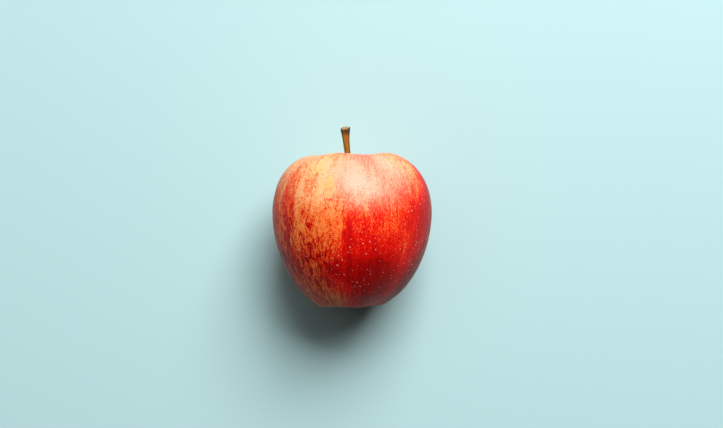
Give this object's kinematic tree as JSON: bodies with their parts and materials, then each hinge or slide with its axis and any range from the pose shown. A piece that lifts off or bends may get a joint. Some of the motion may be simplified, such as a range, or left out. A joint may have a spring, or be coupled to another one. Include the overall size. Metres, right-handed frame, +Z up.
{
  "type": "apple",
  "caption": "Ripe red and yellow dessert apple lying on its cheek, with its stem and the dried sepals and stamens of its eye.",
  "frame": {"origin": "centre of the small flat spot on the cheek that the apple rests on", "axes": "+Z up from the resting spot through the fruit; +Y along the fruit from its eye to its stem; +X to the right seen from above with the stem away from the viewer"},
  "size_m": [0.0746, 0.0842, 0.0739],
  "materials": {
    "skin": "satin",
    "stalk": "matte",
    "sepals": "matte",
    "flower_remains": "matte"
  },
  "bodies": {
    "root": {"fruit": "skin", "stem": "stalk", "sepal_1": "sepals", "sepal_2": "sepals", "sepal_3": "sepals", "sepal_4": "sepals", "sepal_5": "sepals", "stamen_1": "flower_remains", "stamen_2": "flower_remains", "stamen_3": "flower_remains", "stamen_4": "flower_remains", "stamen_5": "flower_remains", "stamen_6": "flower_remains", "stamen_7": "flower_remains", "stamen_8": "flower_remains", "stamen_9": "flower_remains", "stamen_10": "flower_remains", "style_column": "flower_remains"}
  },
  "joints": []
}
